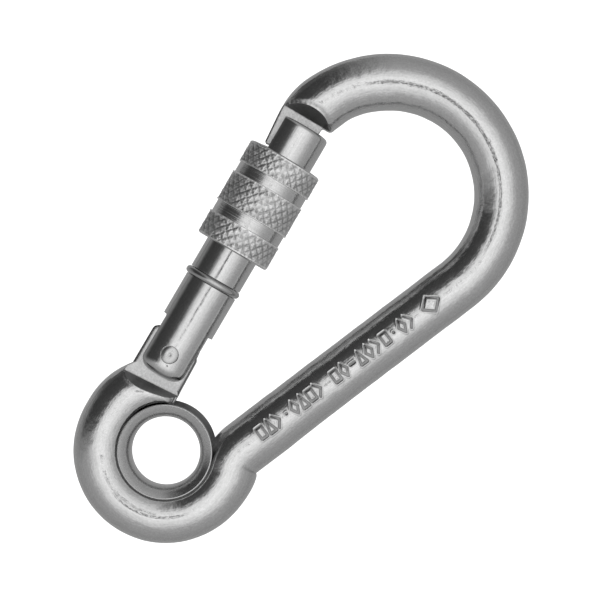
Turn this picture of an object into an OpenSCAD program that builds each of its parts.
// Screw-gate spring hook with an eyelet in its eye, made from round stainless bar.
// Millimetres. Origin: centre of the eyelet's hole, on the bar's middle plane.
// +X runs along the hook from eye to bow, +Y towards the gate, +Z along the eyelet's hole.

/* [Bar and eye] */
// Diameter of the round bar
bar_d = 9.5; // [8:0.1:12]
// Radius of the bar's centre line round the eye
eye_r = 11.35; // [10:0.05:14]
// Half of the angle between gate and spine, degrees
half_angle = 11.2; // [8:0.1:14]
// Distance from the eye's centre to the centre line of the gate and of the spine
line_offset = 7.7; // [6:0.05:10]
// Centre line radius of the reverse bend from eye to spine
reverse_r = 7.5; // [6:0.1:10]
// Straight piece between the eye and the heel bend
heel_run = 1.0; // [0.5:0.1:2]
// Centre line radius of the heel bend, under the hinge
heel_r = 10.25; // [8:0.05:12]
// Angle that the heel bend turns before the cut, degrees
heel_turn = 80; // [70:1:84]

/* [Bow and nose] */
// Centre line radius of the bow
bow_r = 19.8; // [15:0.1:25]
// Distance of the bow's centre from the eye's centre, along X
bow_x = 58.85; // [45:0.05:70]
// Centre line radius of the nose bend
nose_r = 9.4; // [8:0.1:12]
// How far the nose stands outside the gate's centre line
nose_out = 0.4; // [0:0.05:0.8]

/* [Tang at the hinge] */
// Distance from the eye's centre to the hinge pin, along the gate
pin_run = 14.9; // [12:0.1:18]
// Thickness of the milled tang
tang_t = 4.9; // [3:0.1:6]
// Inner edge of the tang at its foot, from the gate's centre line
tang_in = 4.73; // [4:0.01:4.8]
// Inner edge of the tang beside the pin, from the gate's centre line
tang_in_top = 4.5; // [4.3:0.05:4.7]
// Where the tang's inner edge turns in below the cam, above the pin
tang_knee = 1.1; // [0.8:0.1:1.4]
// Outer edge of the tang, from the gate's centre line
tang_out = 5.0; // [4.5:0.05:5.2]
// Height of the tang's flat top above the pin
tang_top = 3.4; // [3:0.1:3.6]
// Rounding of the tang's top corners
tang_round = 1.0; // [0.5:0.1:1.2]
// Where the milled flat ends, below the pin
heel_shoulder = 5.85; // [5.7:0.05:6.5]
// Slope of the milled shoulders, degrees from the flat
shoulder_slope = 54; // [45:1:70]
// Turn of the heel's shoulder in the middle plane, degrees
heel_turn_in = 4; // [0:0.5:6]
// Plunger lift for each radian that the gate opens
cam_lift = 2.0; // [1.5:0.1:2.2]
// Angle up to which the cam is cut, degrees
cam_angle = 32; // [30:1:34]

/* [Tongue at the nose] */
// Thickness of the tongue's neck
neck_t = 3.2; // [2.5:0.1:4]
// Thickness of the tongue's head
head_t = 5.6; // [5:0.1:6]
// Start of the tongue and of its head, from the pin
tongue_from = 40.0; // [39.6:0.1:41]
// End of the head, from the pin
head_to = 42.0; // [41:0.1:43]
// Outer side of the head, from the gate's centre line
head_out = 3.4; // [2.5:0.1:3.5]
// Inner edge of the tongue, from the gate's centre line
tongue_in = 2.8; // [2:0.1:3.5]
// Outer edge of the tongue at its start, from the gate's centre line
tongue_out = 4.6; // [4.2:0.1:5]
// Where the milled flat of the nose ends, from the pin
nose_shoulder = 47.2; // [46.5:0.1:48]

/* [Gate] */
// Diameter of the gate rod
gate_d = 9.66; // [9:0.02:10]
// Length of the gate rod above the pin
gate_up = 45.8; // [44:0.1:46.4]
// Length of the gate rod below the pin
gate_down = 4.15; // [3.5:0.05:4.5]
// Rounding of the gate's lower end
gate_round = 2.2; // [1.5:0.1:2.4]
// Chamfer at the gate's upper end
gate_chamfer = 0.5; // [0.2:0.1:1]
// Width of the hinge slot
slot_w = 5.2; // [5:0.05:5.6]
// Height of the hinge slot above the pin
slot_up = 5.75; // [5.7:0.05:6.5]
// Diameter of the spring's bore
bore_d = 4.9; // [4:0.1:6]
// End of the spring's bore, above the pin
bore_end = 19.5; // [16:0.5:20]
// Width of the catch slot for the neck
catch_neck = 3.5; // [3.3:0.05:4]
// Width of the catch slot for the head
catch_head = 5.9; // [5.8:0.05:6.4]
// Start of the catch slot, above the pin
catch_from = 39.5; // [39.3:0.1:39.8]
// Where the catch slot narrows, above the pin
catch_step = 42.3; // [42.2:0.1:43]
// Flat at the mouth of the catch slot, from the gate's centre line
catch_flat = 3.6; // [3.5:0.1:4]
// Depth of the catch slot past the gate's centre line
catch_in = 2.9; // [2.85:0.05:3.4]
// Diameter of the hinge rivet
rivet_d = 3.1; // [2.5:0.1:4]
// Length of the hinge rivet
rivet_l = 9.5; // [8:0.1:9.6]
// Running clearance of the rivet in the tang, on the radius
rivet_gap = 0.05; // [0.02:0.01:0.1]
// Diameter of the centre mark in each end of the rivet
mark_d = 0.8; // [0.4:0.1:1.2]

/* [Spring and plunger] */
// Diameter of the plunger
plunger_d = 4.7; // [3.8:0.1:4.8]
// Gap between plunger and tang at rest
plunger_gap = 0.05; // [0.03:0.01:0.1]
// Height of the plunger's head
plunger_head = 3.4; // [2:0.1:4]
// Diameter of the plunger's stem, inside the spring
stem_d = 2.6; // [2:0.1:2.8]
// Length of the plunger's stem
stem_l = 4.0; // [2:0.5:6]
// Wire diameter of the return spring
coil_wire = 0.7; // [0.5:0.05:0.9]
// Outer diameter of the return spring
coil_d = 4.4; // [4:0.1:4.6]
// Number of working turns
coil_turns = 7.5; // [5:0.5:9]

/* [Stop ring] */
// Wire diameter of the stop ring
ring_wire = 1.3; // [1:0.1:1.5]
// Outer diameter of the stop ring
ring_d = 10.7; // [10.4:0.1:11]
// Place of the stop ring, above the pin
ring_at = 14.5; // [12:0.5:17]
// Angle of the gap in the stop ring, degrees
ring_gap = 24; // [10:1:40]
// Clearance between the stop ring and its groove
ring_clear = 0.05; // [0.03:0.01:0.1]

/* [Lock sleeve] */
// Outer diameter of the knurled bands
sleeve_d = 13.86; // [13:0.02:15]
// Diameter of the two smooth grooves
sleeve_groove_d = 13.2; // [12.6:0.1:13.4]
// Lower end of the sleeve, above the pin
sleeve_at = 20.8; // [19:0.1:22]
// Length of the sleeve
sleeve_l = 18.5; // [16:0.1:18.8]
// Start and end of the lower groove, from the sleeve's lower end
groove_1 = [4.5, 6.65];
// Start and end of the upper groove, from the sleeve's lower end
groove_2 = [12.3, 14.3];
// Chamfer at the sleeve's ends
sleeve_chamfer = 0.6; // [0.3:0.1:1]
// Bevel at each edge of the grooves
band_bevel = 0.2; // [0.1:0.05:0.4]
// Diameter of the sleeve's bore, over the rod
sleeve_bore = 9.96; // [9.8:0.02:10.1]
// Diameter of the counterbore that clears the tongue
counterbore_d = 10.7; // [10.5:0.1:11]
// Start of the counterbore, from the sleeve's lower end
counterbore_at = 11.7; // [11:0.1:12]

/* [Thread] */
// Pitch of the locking thread
thread_pitch = 1.0; // [0.75:0.25:1.5]
// Depth of each thread groove
thread_deep = 0.4; // [0.3:0.05:0.6]
// First groove on the rod, above the pin
rod_thread_at = 22.5; // [21:0.5:24]
// First groove in the sleeve, from its lower end
sleeve_thread_at = 1.5; // [1:0.5:3]
// Number of thread grooves
thread_count = 10; // [6:1:11]

/* [Eyelet] */
// Diameter of the eyelet's hole
eyelet_hole = 12.0; // [10:0.1:13]
// Diameter of the eyelet's upper flange, the rolled one
upper_flange = 16.4; // [14:0.1:17]
// Diameter of the eyelet's lower flange, the preformed one
lower_flange = 17.3; // [14:0.1:18]
// Length of the straight part of the hole
eyelet_straight = 3.2; // [2:0.1:4]
// Radius of the hole's flared mouths
mouth_r = 2.9; // [2:0.1:3.2]
// Height of the eyelet, from rim to rim
eyelet_h = 8.5; // [8:0.1:9]
// Bevel at the flanges' outer edges
eyelet_bevel = 0.25; // [0.1:0.05:0.3]
// Gap between eyelet and bar
eyelet_gap = 0.03; // [0.02:0.01:0.1]

/* [Hidden] */
$fn = 96;
// Each cutter passes the surface that it cuts by this much.
over = 1;
bar_r = bar_d / 2;
// Neighbouring pieces of the bar overlap by a lap, and every second one is finer by a hair.
lap = 0.4;
hair = 0.04;
gate_r = gate_d / 2;
sleeve_r = sleeve_d / 2;

// Directions of gate and spine, and the directions from the eye's centre to their lines.
gate_dir = [cos(half_angle), sin(half_angle)];
gate_side = [-sin(half_angle), cos(half_angle)];
spine_dir = [cos(half_angle), -sin(half_angle)];
spine_side = [-sin(half_angle), -cos(half_angle)];
pin_xy = line_offset * gate_side + pin_run * gate_dir;

// Heel bend: the eye's arc ends parallel to the gate, runs straight, and bends on more tightly.
heel_from = 90 + half_angle;
heel_centre = heel_run * gate_dir + (eye_r - heel_r) * gate_side;
heel_to = heel_from - heel_turn;

// Reverse bend: tangent to the eye's circle and to the spine's line.
reverse_side = line_offset + reverse_r;
reverse_run = sqrt(pow(eye_r + reverse_r, 2) - pow(reverse_side, 2));
reverse_centre = reverse_side * spine_side + reverse_run * spine_dir;
eye_to = atan2(reverse_centre[1], reverse_centre[0]);
spine_start = line_offset * spine_side + reverse_run * spine_dir;

// Bow: tangent to the spine's line.
bow_y = (bow_r - line_offset - bow_x * sin(half_angle)) / cos(half_angle);
bow_centre = [bow_x, bow_y];
spine_end_run = bow_centre * spine_dir;
spine_length = spine_end_run - reverse_run;
bow_from = -90 - half_angle;

// Nose bend: tangent to the bow, and ends parallel to the gate.
bow_to_nose = bow_r - nose_r;
nose_lean = acos((line_offset + nose_out - nose_r - bow_centre * gate_side) / bow_to_nose);
bow_to = 90 + half_angle - nose_lean;
nose_centre = bow_centre + bow_to_nose * [cos(bow_to), sin(bow_to)];
nose_end = nose_centre * gate_dir - pin_run;

// Plunger and spring, above the pin.
plunger_from = tang_top + plunger_gap;
spring_from = plunger_from + plunger_head;

// Clear of every part of the hook that a cutter must not reach.
reach = 9;

// Places its children in the gate's frame: x along the gate from the pin, y outwards.
module in_gate_frame() {
  translate([pin_xy[0], pin_xy[1], 0])
    rotate([0, 0, half_angle])
      children();
}

// Turns a shape drawn about z so that its z runs along x.
module along_x() {
  rotate([0, 90, 0])
    children();
}

// A bend of the bar in the middle plane, about a centre, between two angles.
module bar_bend(centre, radius, from, to) {
  translate([centre[0], centre[1], 0])
    rotate([0, 0, from])
      rotate_extrude(angle = to - from)
        translate([radius, 0])
          circle(r = bar_r);
}

// A bend drawn finer by a hair, whose ends run on inside the pieces before and after it.
module lapped_bend(centre, radius, from, to) {
  run_on = lap / radius * 180 / PI;
  translate([centre[0], centre[1], 0])
    rotate([0, 0, from - run_on])
      rotate_extrude(angle = to - from + 2 * run_on)
        translate([radius, 0])
          circle(r = bar_r - hair);
}

// A straight run of the bar in the middle plane, at a radius.
module bar_run(start, heading, length, radius) {
  translate([start[0], start[1], 0])
    rotate([0, 90, heading])
      cylinder(r = radius, h = length);
}

// A wedge with its profile in x and z, extruded across y and mirrored to both faces.
module both_faces(profile, half_width) {
  for (side = [0, 1])
    mirror([0, 0, side])
      rotate([90, 0, 0])
        translate([0, 0, -half_width])
          linear_extrude(height = 2 * half_width)
            polygon(profile);
}

// Point of the cam where its face leans by an angle, so that the lift grows evenly.
function cam_point(lean) =
  let (height = tang_top + cam_lift * lean * PI / 180)
    [height * cos(lean) - cam_lift * sin(lean), -height * sin(lean) - cam_lift * cos(lean)];

// Points of an arc about a centre.
function corner(centre, radius, from, to, steps) =
  [for (i = [0:steps])
    let (angle = from + (to - from) * i / steps)
      centre + radius * [cos(angle), sin(angle)]];

// Outline of the tang, in the gate's frame.
tang_root = heel_shoulder + 2;
cam_steps = 12;
cam_points = [for (i = [cam_steps:-1:0]) cam_point(cam_angle * i / cam_steps)];
knee = 0.5;
tang_corner = corner([tang_top - tang_round, tang_out - tang_round], tang_round, 0, 90, 6);
tang_base = [[-heel_shoulder + over, tang_out], [-tang_root, 0], [-tang_root, -tang_in]];
tang_inner = [[tang_knee, -tang_in_top], [tang_knee + knee, cam_points[0][1] - knee / 4]];
tang_outline = concat(tang_base, tang_inner, cam_points, tang_corner);

// Milled pockets that leave the tang between its two flats.
tang_z = tang_t / 2;
pocket_top = bar_r + over;
pocket_past = slot_up + over;
heel_slope = (pocket_top - tang_z) / tan(shoulder_slope);
heel_past = heel_shoulder + pocket_past;
heel_pocket = [[0, tang_z], [heel_past, tang_z], [heel_past, pocket_top], [-heel_slope, pocket_top]];

// Milled pockets that leave the tongue: neck and wider head.
neck_z = neck_t / 2;
head_z = head_t / 2;
nose_slope = (pocket_top - neck_z) / tan(shoulder_slope);
nose_pocket = [[tongue_from - over, head_z], [head_to, head_z], [head_to, neck_z],
               [nose_shoulder, neck_z], [nose_shoulder + nose_slope, pocket_top],
               [tongue_from - over, pocket_top]];

// Pockets that take the head off the tongue's outer strip.
strip_pocket = [[tongue_from - over, neck_z], [head_to + over, neck_z],
                [head_to + over, pocket_top], [tongue_from - over, pocket_top]];

// Cut that tapers the tongue's outer edge towards its start.
bar_out = nose_out + bar_r;
taper = (bar_out - tongue_out) / (nose_shoulder - tongue_from);
nose_taper = [[nose_shoulder, bar_out], [nose_shoulder, bar_out + over],
              [tongue_from - over, bar_out + over], [tongue_from - over, tongue_out - over * taper]];

module bar_stock() {
  bar_bend([0, 0], eye_r, heel_from, 360 + eye_to);
  bar_run(eye_r * gate_side - lap * gate_dir, half_angle, heel_run + 2 * lap, bar_r - hair);
  bar_bend(heel_centre, heel_r, heel_to, heel_from);
  lapped_bend(reverse_centre, reverse_r, 90 - half_angle, 180 + eye_to);
  bar_run(spine_start, -half_angle, spine_length, bar_r);
  lapped_bend(bow_centre, bow_r, bow_from, bow_to);
  bar_bend(nose_centre, nose_r, bow_to, 90 + half_angle);
  in_gate_frame()
    translate([tongue_from, nose_out, 0])
      along_x()
        cylinder(r = bar_r - hair, h = nose_end - tongue_from + lap);
}

module hook_body() {
  color("silver")
    difference() {
      union() {
        difference() {
          bar_stock();
          in_gate_frame() {
            translate([-heel_shoulder, 0, 0])
              rotate([0, 0, heel_turn_in])
                both_faces(heel_pocket, reach);
            translate([-tang_root - over, -tang_in - reach, -pocket_top])
              cube([tang_root + over + pocket_past, reach, 2 * pocket_top]);
            both_faces(nose_pocket, reach);
            translate([0, head_out + reach, 0])
              both_faces(strip_pocket, reach);
            translate([tongue_from - over, -tongue_in - reach, -pocket_top])
              cube([nose_shoulder - tongue_from + over, reach, 2 * pocket_top]);
            translate([0, 0, -reach])
              linear_extrude(height = 2 * reach)
                polygon(nose_taper);
          }
        }
        in_gate_frame()
          translate([0, 0, -tang_z])
            linear_extrude(height = tang_t)
              polygon(tang_outline);
      }
      in_gate_frame()
        cylinder(r = rivet_d / 2 + rivet_gap, h = 2 * reach, center = true);
    }
}

// Eyelet: a tube whose two ends are flared over the bar.
eyelet_r = eyelet_hole / 2;
eyelet_z = eyelet_h / 2;
straight_z = eyelet_straight / 2;
mouth_to = acos((eyelet_z - straight_z) / mouth_r);
upper_mouth = corner([eyelet_r + mouth_r, straight_z], mouth_r, 90 + mouth_to, 180, 8);
lower_mouth = corner([eyelet_r + mouth_r, -straight_z], mouth_r, 180, 270 - mouth_to, 8);

// Outer edge of a flange, from a height nearer the middle plane to the rim.
function flange_edge(radius, side) =
  [[radius, side * (eyelet_z - eyelet_bevel)], [radius - eyelet_bevel, side * eyelet_z]];
lower_edge = flange_edge(lower_flange / 2, -1);
upper_edge = flange_edge(upper_flange / 2, 1);

module eyelet() {
  color("lightgray")
    rotate_extrude()
      difference() {
        polygon(concat(lower_mouth, [lower_edge[1], lower_edge[0]], upper_edge, upper_mouth));
        translate([eye_r, 0])
          circle(r = bar_r + eyelet_gap);
      }
}

// The gate's turned outline from its lower end: rounded below, chamfered above.
gate_outline = concat(
  [[0, -gate_down]],
  corner([gate_r - gate_round, gate_round - gate_down], gate_round, -90, 0, 8),
  [[gate_r, gate_up - gate_chamfer], [gate_r - gate_chamfer, gate_up], [0, gate_up]]);

// V-shaped groove cut all round, pointing inwards from a radius.
module thread_cut(at, radius, depth) {
  translate([at, 0, 0])
    along_x()
      rotate_extrude()
        polygon([[radius, -depth], [radius + depth, -depth], [radius + depth, depth],
                 [radius, depth], [radius - depth, 0]]);
}

ring_r = (ring_d - ring_wire) / 2;
ring_floor = ring_r - ring_wire / 2 - ring_clear;
ring_slot = ring_wire + 2 * ring_clear;

module gate_rod() {
  color("lightsteelblue")
    in_gate_frame()
      difference() {
        along_x()
          rotate_extrude()
            polygon(gate_outline);
        translate([-gate_down - over, -reach, -slot_w / 2])
          cube([gate_down + over + slot_up, 2 * reach, slot_w]);
        translate([slot_up - over, 0, 0])
          along_x()
            cylinder(d = bore_d, h = bore_end - slot_up + over);
        cylinder(d = rivet_d, h = 2 * reach, center = true);
        translate([ring_at - ring_slot / 2, 0, 0])
          along_x()
            difference() {
              cylinder(r = gate_r + over, h = ring_slot);
              translate([0, 0, -over])
                cylinder(r = ring_floor, h = ring_slot + 2 * over);
            }
        for (i = [0:thread_count - 1])
          thread_cut(rod_thread_at + i * thread_pitch, gate_r, thread_deep);
        translate([catch_from, -catch_in, -catch_head / 2])
          cube([catch_step - catch_from, catch_in + reach, catch_head]);
        translate([catch_from + over, -catch_in, -catch_neck / 2])
          cube([gate_up - catch_from, catch_in + reach, catch_neck]);
        translate([catch_from, catch_flat, -reach])
          cube([gate_up - catch_from + over, reach, 2 * reach]);
      }
}

mark_deep = mark_d / 4;

module hinge_rivet() {
  color("gainsboro")
    in_gate_frame()
      difference() {
        cylinder(d = rivet_d, h = rivet_l, center = true);
        for (side = [0, 1])
          mirror([0, 0, side])
            translate([0, 0, rivet_l / 2 - mark_deep])
              cylinder(d1 = 0, d2 = 2 * mark_d, h = 2 * mark_deep);
      }
}

module stop_ring() {
  color("gray")
    in_gate_frame()
      translate([ring_at, 0, 0])
        along_x()
          rotate([0, 0, ring_gap / 2 - 90])
            rotate_extrude(angle = 360 - ring_gap)
              translate([ring_r, 0])
                circle(d = ring_wire);
}

module plunger() {
  color("darkgray")
    in_gate_frame()
      translate([plunger_from, 0, 0])
        along_x() {
          cylinder(d = plunger_d, h = plunger_head);
          cylinder(d = stem_d, h = plunger_head + stem_l);
        }
}

// Return spring: a wire swept along a helix with one closed turn at each end.
coil_r = (coil_d - coil_wire) / 2;
coil_low = spring_from + coil_wire / 2 + plunger_gap;
coil_high = bore_end - coil_wire / 2 - plunger_gap;
coil_dead = 1;
coil_steps = 20;
wire_sides = 8;
coil_total = coil_turns + 2 * coil_dead;
coil_rise = coil_high - coil_low - 2 * coil_dead * coil_wire;

// Height of the wire's centre after a number of turns.
function coil_height(turn) =
  turn < coil_dead ? coil_low + turn * coil_wire :
  turn > coil_total - coil_dead ? coil_high - (coil_total - turn) * coil_wire :
  coil_low + coil_dead * coil_wire + coil_rise * (turn - coil_dead) / coil_turns;

coil_rings = round(coil_total * coil_steps);
coil_points = [
  for (i = [0:coil_rings])
    for (j = [0:wire_sides - 1])
      let (turn = i / coil_steps,
           round_wire = 360 * j / wire_sides,
           radius = coil_r + coil_wire / 2 * cos(round_wire))
        [coil_height(turn) + coil_wire / 2 * sin(round_wire),
         radius * cos(360 * turn),
         radius * sin(360 * turn)]];
coil_sides = [
  for (i = [0:coil_rings - 1])
    for (j = [0:wire_sides - 1])
      let (k = (j + 1) % wire_sides)
        [i * wire_sides + j, i * wire_sides + k, (i + 1) * wire_sides + k, (i + 1) * wire_sides + j]];
coil_first = [[for (j = [wire_sides - 1:-1:0]) j]];
coil_last = [[for (j = [0:wire_sides - 1]) coil_rings * wire_sides + j]];

module return_spring() {
  color("dimgray")
    in_gate_frame()
      polyhedron(points = coil_points, faces = concat(coil_first, coil_sides, coil_last));
}

// Outline of the sleeve from its lower end: three bands, two grooves, chamfered ends.
groove_r = sleeve_groove_d / 2;
sleeve_outline = [
  [sleeve_bore / 2, 0],
  [sleeve_r - sleeve_chamfer, 0],
  [sleeve_r, sleeve_chamfer],
  [sleeve_r, groove_1[0] - band_bevel],
  [groove_r, groove_1[0]],
  [groove_r, groove_1[1]],
  [sleeve_r, groove_1[1] + band_bevel],
  [sleeve_r, groove_2[0] - band_bevel],
  [groove_r, groove_2[0]],
  [groove_r, groove_2[1]],
  [sleeve_r, groove_2[1] + band_bevel],
  [sleeve_r, sleeve_l - sleeve_chamfer],
  [sleeve_r - sleeve_chamfer, sleeve_l],
  [counterbore_d / 2, sleeve_l],
  [counterbore_d / 2, counterbore_at],
  [sleeve_bore / 2, counterbore_at]];
bore_teeth = [
  for (i = [thread_count - 1:-1:0])
    for (step = [1, 0, -1])
      [sleeve_bore / 2 + (step == 0 ? thread_deep : 0),
       sleeve_thread_at + i * thread_pitch + step * thread_deep]];

module lock_sleeve() {
  color("slategray")
    in_gate_frame()
      translate([sleeve_at, 0, 0])
        along_x()
          rotate_extrude()
            polygon(concat(sleeve_outline, bore_teeth));
}

hook_body();
eyelet();
gate_rod();
hinge_rivet();
stop_ring();
return_spring();
plunger();
lock_sleeve();
